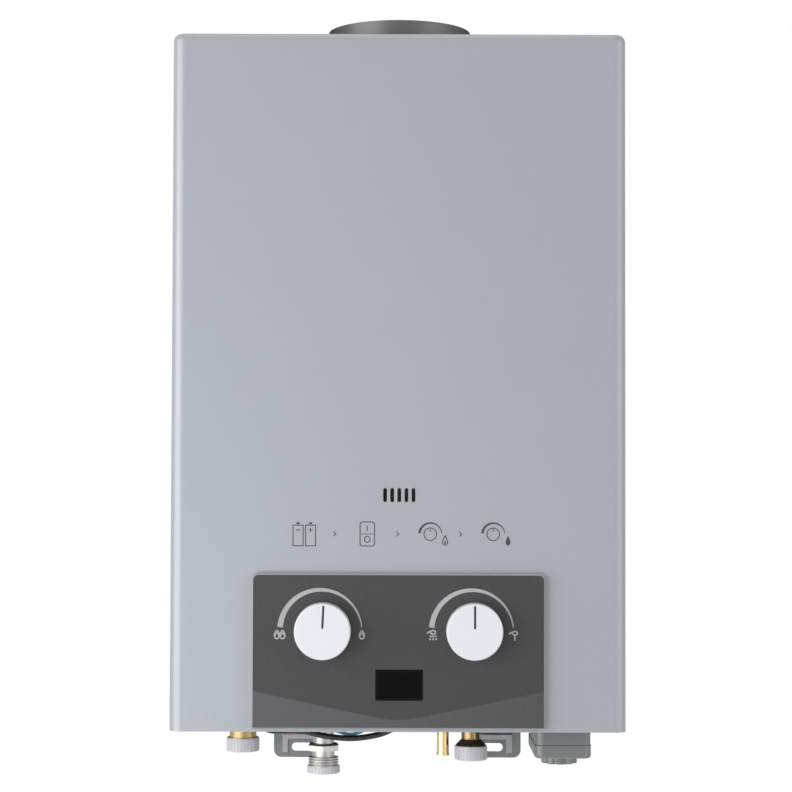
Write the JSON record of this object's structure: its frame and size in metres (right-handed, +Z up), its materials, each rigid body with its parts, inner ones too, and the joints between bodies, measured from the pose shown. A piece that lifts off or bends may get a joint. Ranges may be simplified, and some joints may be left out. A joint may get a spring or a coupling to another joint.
{
  "type": "tankless gas water heater",
  "caption": "Wall-hung flueable gas water heater: folded grey case with flue collar, dark panel with turning knobs and display, capped pipe connections and a hinged battery box below.",
  "frame": {"origin": "on the wall face of the back plate, on the centre line, level with the cover's lower edge", "axes": "+X to the right of someone facing the heater, +Y from the front into the wall, +Z up"},
  "size_m": [0.3086, 0.1591, 0.5275],
  "materials": {
    "grey_paint": "metallic grey stoved paint, satin",
    "galvanised_sheet": "zinc-coated sheet, dull",
    "flue_steel": "rolled steel, satin",
    "zinc_screw": "zinc plated",
    "copper": "bare copper, slightly tarnished",
    "burner_steel": "stainless pressing, dull",
    "cast_aluminium": "die cast, matt",
    "brass": "machined brass",
    "nickel_plate": "nickel plated brass",
    "steel_rod": "ground steel",
    "rubber": "black rubber, matt",
    "black_plastic": "black moulding, matt",
    "controller_case": "dark grey moulding",
    "cap_plastic": "natural polyethylene, satin",
    "ceramic": "unglazed white ceramic",
    "panel_rim": "silver lacquered moulding",
    "overlay_film": "dark grey printed film, brushed look",
    "display_black": "black smoked window, polished",
    "circuit_board": "lacquered circuit board",
    "knob_white": "white moulding, semi-gloss",
    "pointer_dark": "dark print",
    "battery_grey": "grey moulding, satin",
    "cell_jacket": "printed steel jacket",
    "contact_metal": "nickel plated spring steel",
    "black_sleeve": "black cable sheath",
    "blue_sleeve": "blue wire insulation",
    "red_sleeve": "red wire insulation"
  },
  "bodies": {
    "heater": {"back_plate": "galvanised_sheet", "base_shelf": "galvanised_sheet", "front_cover": "grey_paint", "cover_screws": "zinc_screw", "flue_collar": "flue_steel", "draft_hood": "galvanised_sheet", "exchanger_shell": "copper", "exchanger_fins": "copper", "exchanger_tube": "copper", "exchanger_brackets": "galvanised_sheet", "burner_tray": "galvanised_sheet", "burner_bars": "burner_steel", "gas_manifold": "cast_aluminium", "gas_injectors": "brass", "gas_valve_body": "cast_aluminium", "gas_solenoid": "black_plastic", "water_valve_body": "brass", "microswitch": "black_plastic", "diaphragm_gas_half": "cast_aluminium", "diaphragm_water_half": "brass", "diaphragm": "rubber", "diaphragm_screws": "zinc_screw", "gas_inlet_fitting": "nickel_plate", "gas_inlet_washer": "rubber", "cold_inlet_fitting": "brass", "hot_outlet_fitting": "brass", "relief_tube": "brass", "cold_pipe": "copper", "hot_pipe": "copper", "electrode_insulators": "ceramic", "electrode_rods": "steel_rod", "overheat_switch": "black_plastic", "ignition_controller": "controller_case", "control_panel": "panel_rim", "panel_overlay": "overlay_film", "display_window": "display_black", "display_module": "display_black", "display_board": "circuit_board", "battery_box": "battery_grey", "battery_cells": "cell_jacket", "battery_contacts": "contact_metal", "lid_hinge_pin": "steel_rod", "power_switch": "black_plastic", "power_socket": "black_plastic", "black_lead": "black_sleeve", "blue_lead": "blue_sleeve", "red_lead": "red_sleeve"},
    "gas_knob": {"gas_knob": "knob_white", "gas_knob_pointer": "pointer_dark", "gas_spindle": "steel_rod"},
    "water_knob": {"water_knob": "knob_white", "water_knob_pointer": "pointer_dark", "water_spindle": "steel_rod"},
    "battery_lid": {"battery_lid": "battery_grey", "lid_contacts": "contact_metal"},
    "battery_latch": {"battery_latch": "battery_grey"},
    "power_rocker": {"power_rocker": "black_plastic"},
    "gas_inlet_cap": {"gas_inlet_cap": "cap_plastic"},
    "cold_inlet_cap": {"cold_inlet_cap": "cap_plastic"},
    "hot_outlet_cap": {"hot_outlet_cap": "cap_plastic"}
  },
  "joints": [
    {"name": "gas_knob_turn", "type": "hinge", "parent": "heater", "child": "gas_knob", "pos_m": [-0.04985, -0.147, 0.0677], "axis": [0, -1, 0], "range_deg": [-87.2, 92.8]},
    {"name": "water_knob_turn", "type": "hinge", "parent": "heater", "child": "water_knob", "pos_m": [0.05075, -0.147, 0.0677], "axis": [0, -1, 0], "range_deg": [-90, 90]},
    {"name": "battery_lid_hinge", "type": "hinge", "parent": "heater", "child": "battery_lid", "pos_m": [0.1125, -0.0348, -0.01255], "axis": [1, 0, 0], "range_deg": [0, 95]},
    {"name": "battery_latch_turn", "type": "hinge", "parent": "battery_lid", "child": "battery_latch", "pos_m": [0.1125, -0.0741, -0.0255], "axis": [0, 0, -1], "range_deg": [0, 90]},
    {"name": "power_rocker_tilt", "type": "hinge", "parent": "heater", "child": "power_rocker", "pos_m": [-0.134, -0.082, 0.0075], "axis": [1, 0, 0], "range_deg": [-16, 0]},
    {"name": "gas_cap_off", "type": "slide", "parent": "heater", "child": "gas_inlet_cap", "axis": [0, 0, -1], "range_m": [0, 0.015]},
    {"name": "cold_cap_off", "type": "slide", "parent": "heater", "child": "cold_inlet_cap", "axis": [0, 0, -1], "range_m": [0, 0.015]},
    {"name": "hot_cap_off", "type": "slide", "parent": "heater", "child": "hot_outlet_cap", "axis": [0, 0, -1], "range_m": [0, 0.015]}
  ]
}
